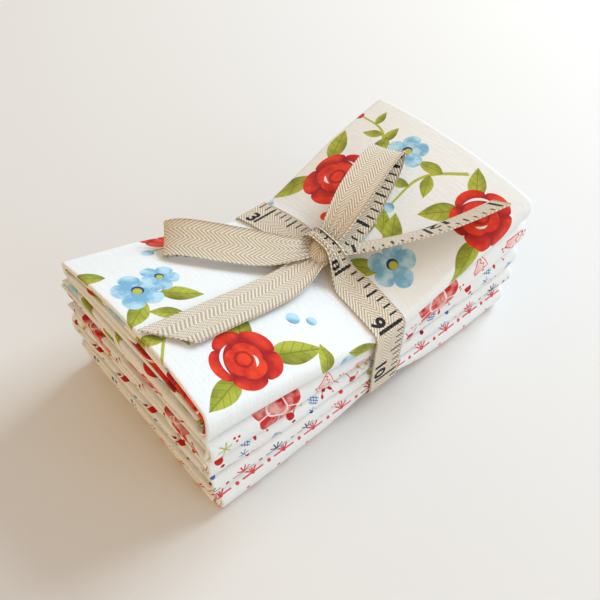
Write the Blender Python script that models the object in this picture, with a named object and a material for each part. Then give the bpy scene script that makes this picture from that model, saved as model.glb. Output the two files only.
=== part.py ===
"""A fat quarter bundle: five folded fat quarters of quilting cotton, stacked and tied with a tape bow.

Each fat quarter is a cut of 18 by 22 inches. It is folded to a pad of eight layers, 9 by 5.5 inches,
and the pad is folded in three like a letter. Its solid is that pad: one back-and-forth section with
a bottom leaf, a turn at the front, a top leaf, a turn at the back and a middle leaf inside the wrap.
The tape pulls the stack in at its middle, so the ends stand higher and open out.

Frame: +X along the folds, +Y to the back, +Z up, origin on the surface under the stack's centre.
"""
import math
from collections import namedtuple

import bmesh
import bpy
from mathutils import Matrix, Vector

INCH = 0.0254
MM = 0.001

# Folded size of one fat quarter: 22 inches in quarters, 18 inches in sixths
FOLDED_LENGTH = 22 * INCH / 4
FOLDED_WIDTH = 18 * INCH / 6

# The origin is under the middle of the whole outline, the stack's own middle this far behind it
STACK_Y = 0.91 * MM

# Gap that is kept between any two pieces
CLEAR = 0.3 * MM

# The tape and where it goes round the stack
TAPE_WIDTH = 0.5 * INCH
TAPE_THICK = 1.0 * MM
BAND_X = 2.5 * MM
WAIST_FLAT = 8.0 * MM
ARCH_REACH = 14.0 * MM
ARCH_END = 40.0 * MM
OUTLINE_FINE = 12
OUTLINE_BEND = math.radians(8)
OUTLINE_STEP = 9.0 * MM

# How much lower the seams are at the back edge under the tape, as a share of their height there
BACK_DIP = 0.12

# Air between two leaves of one fat quarter, under the tape and at the ends
GAP_BAND = 0.5 * MM
GAP_END = 0.9 * MM

# How round the turns are, as depth over height, and how square the front turn is, 1 being an ellipse
FRONT_ROUND = 0.62
FRONT_SQUARE = 0.7
BACK_ROUND = 1.0

# Height in mm of the seams between the pieces at the left end, under the tape and at the right end,
# and how much higher the middle of the width is than its edges, at the left end, band and right end
Level = namedtuple("Level", "left band right crown_left crown_band crown_right")
LEVELS = (
    Level(0.0, 6.8, 0.0, 0.0, 0.0, 0.0),
    Level(11.5, 12.4, 11.8, 0.2, 0.2, 0.3),
    Level(21.5, 18.2, 21.4, 0.4, 0.4, 0.6),
    Level(31.2, 23.8, 31.0, 0.6, 0.8, 1.0),
    Level(43.0, 32.0, 43.2, 0.6, 1.6, 1.8),
    Level(54.5, 38.6, 53.0, 6.5, 4.6, 3.4),
)

# Each fat quarter from the floor up. The columns are in mm: the seam under it, where its left and
# right ends lie, how far its front and back edges stand out, how far the tape pulls them in, how much
# further left its bottom and middle leaves reach, how far its back half is pushed left, and the
# swell of its front edge
Quarter = namedtuple(
    "Quarter", "name seam left right front back pinch_front pinch_back bottom_out middle_out skew swell"
)
QUARTERS = (
    Quarter("fat_quarter_5", 0, -68.4, 68.2, 1.8, 0.6, 1.2, 3.0, -0.6, 0.8, 0.6, 0.3),
    Quarter("fat_quarter_4", 1, -69.6, 69.4, 1.6, 0.6, 1.6, 3.6, 0.7, -0.4, 0.9, 0.4),
    Quarter("fat_quarter_3", 2, -70.8, 69.8, 0.6, -0.1, 0.9, 4.0, -0.5, 0.9, 1.2, 0.5),
    Quarter("fat_quarter_2", 3, -69.8, 71.6, 1.0, 0.6, 1.3, 4.8, 0.9, -0.6, 0.9, 0.6),
    Quarter("fat_quarter_1", 4, -69.0, 70.8, 0.8, 0.8, 1.0, 5.6, 1.9, 0.6, 0.9, 0.7),
)

# How finely a section and the length are divided
LEAF_STEPS = 4
FRONT_STEPS = 6
BACK_STEPS = 5
NOSE_SHARES = (0.0, 0.35, 1.0)
SIDE_SHARES = (0.85, 0.62, 0.4, 0.2)

# The knot's lump: its centre above the cloth and its half sizes, in mm
KNOT_Y = -5.0 * MM
KNOT_LIFT = 4.6 * MM
KNOT_HALF = Vector((7.6, 6.2, 4.4)) * MM

# The routes of the bow, in mm. Lift is the height of the tape's middle above the cloth, roll turns
# its width about the route in degrees, and width is the share of the full width that is laid open
Route = namedtuple("Route", "x y lift roll width")
LEFT_LOOP = (
    Route(1, -4, 5.2, 0, 0.55),
    Route(-7, 2, 8.4, -6, 0.75),
    Route(-16, 9, 9.2, -8, 0.95),
    Route(-26, 17, 8.0, -10, 1.0),
    Route(-34.5, 23.5, 6.0, -10, 1.0),
    Route(-38.5, 26.5, 3.9, -10, 1.0),
    Route(-35.5, 24, 2.0, -10, 1.0),
    Route(-26, 16, 1.9, -6, 1.0),
    Route(-16, 8, 2.2, -4, 0.95),
    Route(-7, 1, 3.2, 0, 0.75),
    Route(1, -4, 4.0, 0, 0.55),
)
BACK_LOOP = (
    Route(3, -5, 5.2, 0, 0.55),
    Route(10, -3, 9.0, 0, 0.75),
    Route(20, 0.5, 11.4, -2, 0.95),
    Route(31, 4.5, 11.2, -4, 1.0),
    Route(39.5, 8, 9.4, -6, 1.0),
    Route(43.5, 9.5, 7.0, -6, 1.0),
    Route(39.5, 6.5, 4.6, -4, 1.0),
    Route(31, 2, 3.8, 0, 1.0),
    Route(20, -2.5, 3.0, 4, 0.95),
    Route(10, -5, 3.2, 4, 0.75),
    Route(3, -5, 4.0, 0, 0.55),
)
LEFT_TAIL = (
    Route(2, -5.5, 4.6, 0, 0.55),
    Route(-6, -7, 4.4, 0, 0.75),
    Route(-16, -9, 2.8, 0, 0.95),
    Route(-28, -10, 1.8, 0, 1.0),
    Route(-42, -10.6, 1.5, 0, 1.0),
    Route(-54, -11, 1.4, 0, 1.0),
    Route(-62.5, -11.2, 1.4, 0, 1.0),
)
RIGHT_TAIL = (
    Route(4, -7, 4.0, -16, 0.55),
    Route(11, -11.5, 4.6, -28, 0.8),
    Route(20, -17.5, 5.2, -36, 1.0),
    Route(32, -24, 5.4, -38, 1.0),
    Route(45, -29, 5.4, -38, 1.0),
    Route(58.5, -33, 5.4, -38, 1.0),
)
LEFT_TAIL_CUT = -12.0 * MM


def clear_scene():
    for thing in list(bpy.data.objects):
        bpy.data.objects.remove(thing, do_unlink=True)


def blend(a, b, share):
    return a + (b - a) * share


def rise(x):
    """0 under the tape, growing almost straight to 1 at an end of the stack."""
    reach = FOLDED_LENGTH / 2 - math.copysign(BAND_X, x - BAND_X) - WAIST_FLAT
    share = max(0.0, abs(x - BAND_X) - WAIST_FLAT) / reach
    return share ** 1.1 * (1.2 - 0.2 * share)


def arch(x):
    """1 under the tape and exactly 0 where the underside rests on the surface."""
    out = abs(x - BAND_X)
    if out >= ARCH_END:
        return 0.0
    fade = 1.0 - (out / ARCH_END) ** 2
    return math.exp(-max(0.0, out - WAIST_FLAT / 2) ** 2 / ARCH_REACH ** 2) * fade


def seam_height(index, x, y):
    """Height of a seam between two pieces."""
    level = LEVELS[index]
    share = rise(x)
    end, crown_end = (level.left, level.crown_left) if x < BAND_X else (level.right, level.crown_right)
    across = 1.0 - min(1.0, abs(2 * y / FOLDED_WIDTH)) ** 2.2
    if index == 0:
        return level.band * MM * arch(x)
    behind = max(0.0, 2 * y / FOLDED_WIDTH) ** 1.5
    edge = blend(level.band * (1.0 - BACK_DIP * behind), end, share)
    crown = blend(level.crown_band, crown_end, share)
    return (edge + crown * across) * MM


def top_of_stack(x, y):
    return seam_height(len(LEVELS) - 1, x, y) - CLEAR / 2


def gap_between_leaves(x):
    return blend(GAP_BAND, GAP_END, min(1.0, rise(x)))


def leaf_thickness(quarter, x, y):
    """Thickness of one leaf of eight layers."""
    low = seam_height(quarter.seam, x, y)
    high = seam_height(quarter.seam + 1, x, y)
    return (high - low - CLEAR - 2 * gap_between_leaves(x)) / 3


def underside(quarter, x, y):
    """The lowest piece lies on the surface itself, the others half a gap above their seam."""
    lift = 0.0 if quarter.seam == 0 else CLEAR / 2
    return seam_height(quarter.seam, x, y) + lift


def edges(quarter, x):
    """Front and back edge of a piece at a place along it."""
    pull = 1.0 - min(1.0, rise(x) * 1.6)
    wave = math.sin(x * 62.0 + quarter.seam * 1.9)
    front = -FOLDED_WIDTH / 2 - (quarter.front + quarter.swell * wave) * MM + quarter.pinch_front * pull * MM
    back = FOLDED_WIDTH / 2 + (quarter.back + 0.4 * wave) * MM - quarter.pinch_back * pull * MM
    return front, back


def pad_point(quarter, x, s):
    """Middle of the pad at s along the letter fold: its place, outward direction and half thickness.

    s runs 0 to 1 along the bottom leaf from its back end, 1 to 2 round the front turn, 2 to 3 along
    the top leaf, 3 to 4 round the back turn and 4 to 5 along the middle leaf to the front.
    """
    front, back = edges(quarter, x)
    gap = gap_between_leaves(x)
    rim = leaf_thickness(quarter, x, FOLDED_WIDTH / 2)
    front_y = front + rim / 2 + (rim + gap) * FRONT_ROUND
    back_y = back - rim / 2 - (rim + gap) / 2 * BACK_ROUND
    if s <= 1.0:
        y = blend(back - gap, front_y, s)
        half = leaf_thickness(quarter, x, y) / 2
        return y, underside(quarter, x, y) + half, 0.0, -1.0, half
    if s <= 2.0:
        half = leaf_thickness(quarter, x, front_y) / 2
        radius = 2 * half + gap
        middle = underside(quarter, x, front_y) + half + radius
        angle = math.pi * (s - 1.0)
        y = front_y - radius * FRONT_ROUND * abs(math.sin(angle)) ** FRONT_SQUARE
        return y, middle - radius * math.cos(angle), -math.sin(angle), -math.cos(angle), half
    if s <= 3.0:
        y = blend(front_y, back_y, s - 2.0)
        half = leaf_thickness(quarter, x, y) / 2
        return y, underside(quarter, x, y) + 5 * half + 2 * gap, 0.0, 1.0, half
    if s <= 4.0:
        half = leaf_thickness(quarter, x, back_y) / 2
        radius = half + gap / 2
        middle = underside(quarter, x, back_y) + 4 * half + 1.5 * gap
        angle = math.pi * (s - 3.0)
        y = back_y + radius * BACK_ROUND * math.sin(angle)
        return y, middle + radius * math.cos(angle), math.sin(angle), math.cos(angle), half
    nose = front_y - (rim + gap) * FRONT_ROUND + rim / 2 + gap
    y = blend(back_y, nose, s - 4.0)
    half = leaf_thickness(quarter, x, y) / 2
    return y, underside(quarter, x, y) + 3 * half + gap, 0.0, -1.0, half


def nose_share(distance, radius):
    """Share of the full thickness at a distance from a rounded edge."""
    inside = min(1.0, max(0.0, distance / radius))
    return max(0.34, math.sqrt(1.0 - (1.0 - inside) ** 2))


def fold_steps():
    """The values of s at which a section has points, with the share of thickness at each."""
    steps = [(0.0, 0.45), (0.03, 0.92)]
    steps += [(blend(0.03, 1.0, k / LEAF_STEPS), 1.0) for k in range(1, LEAF_STEPS + 1)]
    steps += [(1.0 + k / FRONT_STEPS, 1.0) for k in range(1, FRONT_STEPS + 1)]
    steps += [(2.0 + k / LEAF_STEPS, 1.0) for k in range(1, LEAF_STEPS + 1)]
    steps += [(3.0 + k / BACK_STEPS, 1.0) for k in range(1, BACK_STEPS + 1)]
    steps += [(blend(4.0, 4.97, k / LEAF_STEPS), 1.0) for k in range(1, LEAF_STEPS)]
    steps += [(4.97, 0.92), (5.0, 0.45)]
    return steps


def leaf_ends(quarter, s):
    """Left and right end of the pad at s: each leaf lies a little out of line with the others."""
    bottom, middle = quarter.bottom_out, quarter.middle_out
    if s <= 1.0:
        out = bottom
    elif s <= 2.0:
        out = blend(bottom, 0.0, s - 1.0)
    elif s <= 3.0:
        out = 0.0
    elif s <= 4.0:
        out = blend(0.0, middle, s - 3.0)
    else:
        out = middle
    return (quarter.left - out) * MM, (quarter.right - 0.4 * out) * MM


def stations(quarter, s):
    """Places along the piece with the share of thickness at each, left to right."""
    left, right = leaf_ends(quarter, s)
    half = leaf_thickness(quarter, quarter.left * MM, 0.0) / 2
    half_right = leaf_thickness(quarter, quarter.right * MM, 0.0) / 2
    low, high = BAND_X - WAIST_FLAT, BAND_X + WAIST_FLAT
    row = [(left + share * half, nose_share(share * half, half)) for share in NOSE_SHARES]
    row += [(blend(low, left + half, share), 1.0) for share in SIDE_SHARES]
    row += [(low, 1.0), (high, 1.0)]
    row += [(blend(high, right - half_right, share), 1.0) for share in reversed(SIDE_SHARES)]
    row += [(right - share * half_right, nose_share(share * half_right, half_right))
            for share in reversed(NOSE_SHARES)]
    return row


def mesh_object(name, points, faces, material):
    mesh = bpy.data.meshes.new(name)
    mesh.from_pydata(points, [], faces)
    piece = bpy.data.objects.new(name, mesh)
    bpy.context.scene.collection.objects.link(piece)
    shape = bmesh.new()
    shape.from_mesh(mesh)
    bmesh.ops.recalc_face_normals(shape, faces=shape.faces)
    bmesh.ops.translate(shape, vec=(0.0, STACK_Y, 0.0), verts=shape.verts)
    shape.to_mesh(mesh)
    shape.free()
    mesh.materials.append(material)
    mesh.shade_smooth()
    mesh.set_sharp_from_angle(angle=math.radians(40))
    return piece


def material(name, colour, roughness):
    made = bpy.data.materials.new(name)
    made.use_nodes = True
    shader = made.node_tree.nodes["Principled BSDF"]
    shader.inputs["Base Color"].default_value = (*colour, 1.0)
    shader.inputs["Roughness"].default_value = roughness
    shader.inputs["Metallic"].default_value = 0.0
    return made


def make_quarter(quarter, cloth):
    """One folded fat quarter: the pad's section, swept along the piece."""
    steps = fold_steps()
    count = len(steps)
    rows = [stations(quarter, s) for s, _ in steps]
    points = []
    for station in range(len(rows[0])):
        outer, inner = [], []
        for (s, edge), row in zip(steps, rows):
            x, end = row[station]
            y, z, out_y, out_z, half = pad_point(quarter, x, s)
            reach = half * edge * end
            shift = -quarter.skew * MM * y / FOLDED_WIDTH * min(1.0, rise(x))
            outer.append((x + shift, y + out_y * reach, z + out_z * reach))
            inner.append((x + shift, y - out_y * reach, z - out_z * reach))
        points += outer + inner[::-1]
    ring = 2 * count
    faces = []
    for station in range(len(rows[0]) - 1):
        for k in range(ring):
            a = station * ring + k
            b = station * ring + (k + 1) % ring
            faces.append((a, b, b + ring, a + ring))
    last = (len(rows[0]) - 1) * ring
    for k in range(count - 1):
        for base in (0, last):
            faces.append((base + k, base + k + 1, base + ring - 2 - k, base + ring - 1 - k))
    return mesh_object(quarter.name, points, faces, cloth)


def convex_outline(points):
    """The corners of the tightest convex outline round the points, anticlockwise."""
    points = sorted(set(points))

    def half(row):
        chain = []
        for point in row:
            while len(chain) > 1:
                (ay, az), (by, bz) = chain[-2], chain[-1]
                if (by - ay) * (point[1] - az) - (bz - az) * (point[0] - ay) > 0:
                    break
                chain.pop()
            chain.append(point)
        return chain[:-1]

    return half(points) + half(points[::-1])


def band_outline():
    """Middle line of the tape round the stack, as (y, z): taut from turn to turn, clear of the cloth."""
    around = []
    for share in (-1.0, -0.5, 0.0, 0.5, 1.0):
        x = BAND_X + share * WAIST_FLAT
        for quarter in QUARTERS:
            for k in range(5 * OUTLINE_FINE + 1):
                y, z, out_y, out_z, half = pad_point(quarter, x, k / OUTLINE_FINE)
                around.append((round(y + out_y * half, 6), round(z + out_z * half, 6)))
    corners = [Vector(corner) for corner in convex_outline(around)]
    kept = [corners[0]]
    for before, here, after in zip(corners, corners[1:], corners[2:] + corners[:1]):
        bend = (here - kept[-1]).angle_signed(after - here, 0.0)
        if abs(bend) > OUTLINE_BEND or (here - kept[-1]).length > OUTLINE_STEP:
            kept.append(here)
    outline = []
    off = CLEAR + TAPE_THICK / 2
    for k, here in enumerate(kept):
        sides = (here - kept[k - 1], kept[(k + 1) % len(kept)] - here)
        normals = [Vector((side.y, -side.x)).normalized() for side in sides]
        middle = (normals[0] + normals[1]).normalized()
        outline.append(here + middle * off / middle.dot(normals[0]))
    return outline


def make_band(tape):
    """The tape round the stack, as one closed ring."""
    outline = band_outline()
    count = len(outline)
    points = []
    for k, (y, z) in enumerate(outline):
        before, after = outline[k - 1], outline[(k + 1) % count]
        along = ((Vector((y, z)) - before).normalized() + (after - Vector((y, z))).normalized()).normalized()
        out = Vector((along.y, -along.x)) * TAPE_THICK / 2
        for side in (-1, 1):
            x = BAND_X + side * TAPE_WIDTH / 2
            points.append((x, y + out.x, z + out.y))
            points.append((x, y - out.x, z - out.y))
    faces = []
    for k in range(count):
        a, b = 4 * k, 4 * ((k + 1) % count)
        for low, high in ((0, 1), (1, 3), (3, 2), (2, 0)):
            faces.append((a + low, a + high, b + high, b + low))
    return mesh_object("band", points, faces, tape)


def smooth_route(route, steps=3):
    """Points on a smooth curve through the route's own points."""
    rows = [Vector((r.x * MM, r.y * MM, top_of_stack(r.x * MM, r.y * MM) + r.lift * MM, r.roll, r.width))
            for r in route]
    smooth = []
    for k in range(len(rows) - 1):
        before = rows[max(0, k - 1)]
        start, end = rows[k], rows[k + 1]
        after = rows[min(len(rows) - 1, k + 2)]
        for j in range(steps):
            t = j / steps
            smooth.append(0.5 * (2 * start + (end - before) * t
                                 + (2 * before - 5 * start + 4 * end - after) * t ** 2
                                 + (3 * start - before - 3 * end + after) * t ** 3))
    smooth.append(rows[-1])
    return smooth


def make_ribbon(name, route, tape, cut=0.0):
    """A stretch of tape along a route. cut slants its free end."""
    rows = smooth_route(route)
    across_before = None
    points = []
    for k, row in enumerate(rows):
        here = Vector(row[:3])
        along = Vector(rows[min(k + 1, len(rows) - 1)][:3]) - Vector(rows[max(k - 1, 0)][:3])
        flat = Vector((along.x, along.y, 0.0))
        across = flat.cross(Vector((0.0, 0.0, 1.0))).normalized()
        if across_before is not None and across.dot(across_before) < 0:
            across = -across
        across_before = across
        turned = Matrix.Rotation(math.radians(row[3]), 3, flat.normalized() if flat.length else along)
        width = turned @ across * TAPE_WIDTH / 2 * row[4]
        out = along.normalized().cross(width.normalized()) * TAPE_THICK / 2
        slant = along.normalized() * cut * k / (len(rows) - 1) / 2
        for side, lead in ((-1, 1), (1, -1)):
            for face in (1, -1):
                points.append(here + side * width + face * out + lead * slant)
    faces = [(0, 1, 3, 2)]
    for k in range(len(rows) - 1):
        a, b = 4 * k, 4 * (k + 1)
        for low, high in ((0, 1), (1, 3), (3, 2), (2, 0)):
            faces.append((a + low, a + high, b + high, b + low))
    end = 4 * (len(rows) - 1)
    faces.append((end, end + 2, end + 3, end + 1))
    return mesh_object(name, points, faces, tape)


def make_knot(tape):
    """The lump where the tape is knotted."""
    shape = bmesh.new()
    bmesh.ops.create_uvsphere(shape, u_segments=14, v_segments=8, radius=1.0)
    height = top_of_stack(BAND_X, KNOT_Y) + KNOT_LIFT
    place = Matrix.Translation((BAND_X, KNOT_Y + STACK_Y, height)) @ Matrix.Rotation(math.radians(-24), 4, "Z")
    bmesh.ops.transform(shape, matrix=place @ Matrix.Diagonal((*KNOT_HALF, 1.0)), verts=shape.verts)
    mesh = bpy.data.meshes.new("knot")
    shape.to_mesh(mesh)
    shape.free()
    mesh.materials.append(tape)
    piece = bpy.data.objects.new("knot", mesh)
    bpy.context.scene.collection.objects.link(piece)
    return piece


def union(whole, parts):
    """Fuse the parts of one piece into one body."""
    for part in parts:
        fuse = whole.modifiers.new("fuse_" + part.name, "BOOLEAN")
        fuse.operation = "UNION"
        fuse.solver = "EXACT"
        fuse.object = part
        part.hide_render = True
        part.display_type = "WIRE"


def make_tape(tape):
    """The whole length of tape: band, knot, two loops and two free ends."""
    whole = make_band(tape)
    whole.name = "tape"
    whole.data.name = "tape"
    parts = [
        make_knot(tape),
        make_ribbon("left_loop", LEFT_LOOP, tape),
        make_ribbon("back_loop", BACK_LOOP, tape),
        make_ribbon("left_tail", LEFT_TAIL, tape, cut=LEFT_TAIL_CUT),
        make_ribbon("right_tail", RIGHT_TAIL, tape),
    ]
    union(whole, parts)


def main():
    clear_scene()
    white = (0.83, 0.86, 0.87)
    rosy = (0.84, 0.78, 0.79)
    for quarter in QUARTERS:
        cloth = material("cloth_" + quarter.name, white if quarter.seam % 2 == 0 else rosy, 0.85)
        make_quarter(quarter, cloth)
    make_tape(material("twill_tape", (0.62, 0.53, 0.41), 0.9))


main()
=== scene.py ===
"""The looks of the fat quarter bundle: five folded printed cottons and the twill tape that ties them.

Each fat quarter is one whole sheet of 18 by 22 inches in its folds. The tape is one ribbon mesh with
its bow. The prints, the weave and the tape's inch marks are procedural, in the flat cloth's own metres.
"""
import math
from collections import namedtuple
from functools import partialmethod

import bmesh
import bpy
import numpy as np
from mathutils import Matrix, Vector


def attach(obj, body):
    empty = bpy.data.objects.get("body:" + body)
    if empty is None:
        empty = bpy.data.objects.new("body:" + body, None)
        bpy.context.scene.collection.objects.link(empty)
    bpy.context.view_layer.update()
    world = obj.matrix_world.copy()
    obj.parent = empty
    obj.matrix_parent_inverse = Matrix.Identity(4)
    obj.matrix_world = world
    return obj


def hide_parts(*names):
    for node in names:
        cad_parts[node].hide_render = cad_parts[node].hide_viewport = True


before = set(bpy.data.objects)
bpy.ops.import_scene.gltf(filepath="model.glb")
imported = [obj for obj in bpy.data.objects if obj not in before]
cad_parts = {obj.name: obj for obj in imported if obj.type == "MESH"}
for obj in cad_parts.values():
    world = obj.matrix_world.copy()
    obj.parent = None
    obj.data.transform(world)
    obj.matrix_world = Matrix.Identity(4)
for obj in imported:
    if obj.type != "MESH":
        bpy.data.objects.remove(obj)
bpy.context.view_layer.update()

INCH = 0.0254
MM = 0.001
X_AXIS = Vector((1.0, 0.0, 0.0))
Y_AXIS = Vector((0.0, 1.0, 0.0))

# The flat size of one fat quarter, and what it folds to
FLAT_WIDTH = 18 * INCH
FLAT_LENGTH = 22 * INCH
FOLDED_LENGTH = FLAT_LENGTH / 4
FOLDED_WIDTH = FLAT_WIDTH / 6

# The form of the stack, as the frame's solids have it
STACK_Y = 0.91 * MM
CLEAR = 0.3 * MM
TAPE_WIDTH = 0.5 * INCH
BAND_X = 2.5 * MM
WAIST_FLAT = 8.0 * MM
ARCH_REACH = 14.0 * MM
ARCH_END = 40.0 * MM
BACK_DIP = 0.12
GAP_BAND = 0.5 * MM
GAP_END = 0.9 * MM
FRONT_ROUND = 0.62
FRONT_SQUARE = 0.7

# Height in mm of the seams between the pieces at the left end, under the tape and at the right end,
# and how much higher the middle of the width is than its edges there
Level = namedtuple("Level", "left band right crown_left crown_band crown_right")
LEVELS = (
    Level(0.0, 6.8, 0.0, 0.0, 0.0, 0.0),
    Level(11.5, 12.4, 11.8, 0.2, 0.2, 0.3),
    Level(21.5, 18.2, 21.4, 0.4, 0.4, 0.6),
    Level(31.2, 23.8, 31.0, 0.6, 0.8, 1.0),
    Level(43.0, 32.0, 43.2, 0.6, 1.6, 1.8),
    Level(54.5, 38.6, 53.0, 6.5, 4.6, 3.4),
)

# Each fat quarter, in mm: the seam under it, its left and right ends, how far its front and back
# edges stand out and are pulled in by the tape, how much further left its bottom and middle leaves
# reach, how far its back half is pushed left, and the swell of its front edge
Quarter = namedtuple(
    "Quarter", "name seam left right front back pinch_front pinch_back bottom_out middle_out skew swell"
)
QUARTERS = (
    Quarter("fat_quarter_5", 0, -68.4, 68.2, 1.8, 0.6, 1.2, 3.0, -0.6, 0.8, 0.6, 0.3),
    Quarter("fat_quarter_4", 1, -69.6, 69.4, 1.6, 0.6, 1.6, 3.6, 0.7, -0.4, 0.9, 0.4),
    Quarter("fat_quarter_3", 2, -70.8, 69.8, 0.6, -0.1, 0.9, 4.0, -0.5, 0.9, 1.2, 0.5),
    Quarter("fat_quarter_2", 3, -69.8, 71.6, 1.0, 0.6, 1.3, 4.8, 0.9, -0.6, 0.9, 0.6),
    Quarter("fat_quarter_1", 4, -69.0, 70.8, 0.8, 0.8, 1.0, 5.6, 1.9, 0.6, 0.9, 0.7),
)

# Cotton: the thickness of one layer, and the most of a layer's room that it may fill
CLOTH_THICK = 0.26 * MM
CLOTH_FILL = 0.62
LAYERS = 8

# How finely the sheet is divided, along the letter fold for its outer and its inner half, and along
# the piece for its outer and inner panels
HALF_A_STEPS = (20, 14, 20, 10, 14)
HALF_B_STEPS = (9, 8, 9, 6, 7)
HAIRPIN_STEPS = 5
CORE = 14.0 * MM
CORE_STEPS = 14
OUTER_PANEL_STEPS = 26
INNER_PANEL_STEPS = 9

# Where the middle of the top leaf is along the letter fold. The cloth's flat places are measured from it
TOP_LEAF_MIDDLE = 2.5


def blend(a, b, share):
    return a + (b - a) * share


def unit(vectors):
    return vectors / np.maximum(1e-12, np.linalg.norm(vectors, axis=-1, keepdims=True))


# The form of the stack


def rise(x):
    """0 under the tape, growing almost straight to 1 at an end of the stack."""
    reach = FOLDED_LENGTH / 2 - np.copysign(BAND_X, x - BAND_X) - WAIST_FLAT
    share = np.maximum(0.0, np.abs(x - BAND_X) - WAIST_FLAT) / reach
    return share ** 1.1 * (1.2 - 0.2 * share)


def arch(x):
    """1 under the tape and 0 where the underside rests on the surface."""
    out = np.abs(x - BAND_X)
    fade = np.maximum(0.0, 1.0 - (out / ARCH_END) ** 2)
    return np.exp(-np.maximum(0.0, out - WAIST_FLAT / 2) ** 2 / ARCH_REACH ** 2) * fade


def seam_height(index, x, y):
    """Height of a seam between two pieces."""
    level = LEVELS[index]
    if index == 0:
        return level.band * MM * arch(x) + 0.0 * y
    share = rise(x)
    left = x < BAND_X
    end = np.where(left, level.left, level.right)
    crown_end = np.where(left, level.crown_left, level.crown_right)
    across = 1.0 - np.minimum(1.0, np.abs(2 * y / FOLDED_WIDTH)) ** 2.2
    behind = np.maximum(0.0, 2 * y / FOLDED_WIDTH) ** 1.5
    edge = blend(level.band * (1.0 - BACK_DIP * behind), end, share)
    crown = blend(level.crown_band, crown_end, share)
    return (edge + crown * across) * MM


def top_of_stack(x, y):
    return seam_height(len(LEVELS) - 1, x, y) - CLEAR / 2


def gap_between_leaves(x):
    return blend(GAP_BAND, GAP_END, np.minimum(1.0, rise(x)))


def leaf_thickness(quarter, x, y):
    """Thickness of one leaf of eight layers."""
    low = seam_height(quarter.seam, x, y)
    high = seam_height(quarter.seam + 1, x, y)
    return (high - low - CLEAR - 2 * gap_between_leaves(x)) / 3


def underside(quarter, x, y):
    lift = 0.0 if quarter.seam == 0 else CLEAR / 2
    return seam_height(quarter.seam, x, y) + lift


def edges(quarter, x):
    """Front and back edge of a piece at a place along it."""
    pull = 1.0 - np.minimum(1.0, rise(x) * 1.6)
    wave = np.sin(x * 62.0 + quarter.seam * 1.9)
    front = -FOLDED_WIDTH / 2 - (quarter.front + quarter.swell * wave) * MM + quarter.pinch_front * pull * MM
    back = FOLDED_WIDTH / 2 + (quarter.back + 0.4 * wave) * MM - quarter.pinch_back * pull * MM
    return front, back


def pad_section(quarter, x, s):
    """The pad of eight layers at x along the piece and s along its letter fold.

    Gives the middle's y and z, the outward direction's y and z, and the thickness. s runs 0 to 1
    along the bottom leaf from its back end, 1 to 2 round the front turn, 2 to 3 along the top leaf,
    3 to 4 round the back turn and 4 to 5 along the middle leaf to the front.
    """
    front, back = edges(quarter, x)
    gap = gap_between_leaves(x)
    rim = leaf_thickness(quarter, x, FOLDED_WIDTH / 2)
    front_y = front + rim / 2 + (rim + gap) * FRONT_ROUND
    back_y = back - rim / 2 - (rim + gap) / 2
    nose = front_y - (rim + gap) * FRONT_ROUND + rim / 2 + gap

    bottom_y = blend(back - gap, front_y, s)
    top_y = blend(front_y, back_y, s - 2.0)
    middle_y = blend(back_y, nose, s - 4.0)
    leaf_y = np.select([s <= 1.0, s <= 2.0, s <= 3.0, s <= 4.0], [bottom_y, front_y, top_y, back_y], middle_y)
    thick = leaf_thickness(quarter, x, leaf_y)
    half = thick / 2
    floor = underside(quarter, x, leaf_y)

    front_angle = math.pi * np.clip(s - 1.0, 0.0, 1.0)
    front_radius = thick + gap
    front_reach = front_radius * FRONT_ROUND * np.sin(front_angle) ** FRONT_SQUARE
    back_angle = math.pi * np.clip(s - 3.0, 0.0, 1.0)
    back_radius = (thick + gap) / 2

    turns = [s <= 1.0, s <= 2.0, s <= 3.0, s <= 4.0]
    none = np.zeros_like(s)
    y = leaf_y + np.select(turns, [none, -front_reach, none, back_radius * np.sin(back_angle)], none)
    z = floor + np.select(
        turns,
        [half,
         half + front_radius * (1.0 - np.cos(front_angle)),
         5 * half + 2 * gap,
         4 * half + 1.5 * gap + back_radius * np.cos(back_angle)],
        3 * half + gap,
    )
    out_y = np.select(turns, [none, -np.sin(front_angle), none, np.sin(back_angle)], none)
    out_z = np.select(turns, [none - 1.0, -np.cos(front_angle), none + 1.0, np.cos(back_angle)], none - 1.0)
    return y, z, out_y, out_z, thick


# The folded sheets


def along_the_fold():
    """The sheet's rows across its 18 inches: each row's s, and 0 on the outer half to 1 on the inner.

    The 18 inches are halved first, so the rows run along the letter fold on the outer half, turn at
    the middle leaf's end, and run back on the inner half.
    """
    outer = [(leaf + k / steps, 0.0, 0.0) for leaf, steps in enumerate(HALF_A_STEPS) for k in range(steps)]
    angles = math.pi * np.arange(HAIRPIN_STEPS + 1) / HAIRPIN_STEPS
    turn = [(len(HALF_A_STEPS), (1.0 - math.cos(angle)) / 2, math.sin(angle)) for angle in angles]
    inner = [(leaf + k / steps, 1.0, 0.0) for leaf, steps in enumerate(HALF_B_STEPS) for k in range(steps)]
    return np.array(outer + turn + inner[::-1])


def panel_stations(steps):
    """Places along one panel, left to right, as the shares of the left and right end, and an offset."""
    shares = [k / steps for k in range(steps, -1, -1)]
    left = [(share, 0.0, -(1.0 - share) * CORE) for share in shares]
    core = [(0.0, 0.0, blend(-CORE, CORE, k / CORE_STEPS)) for k in range(1, CORE_STEPS)]
    right = [(0.0, share, (1.0 - share) * CORE) for share in reversed(shares)]
    return left + core + right


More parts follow.
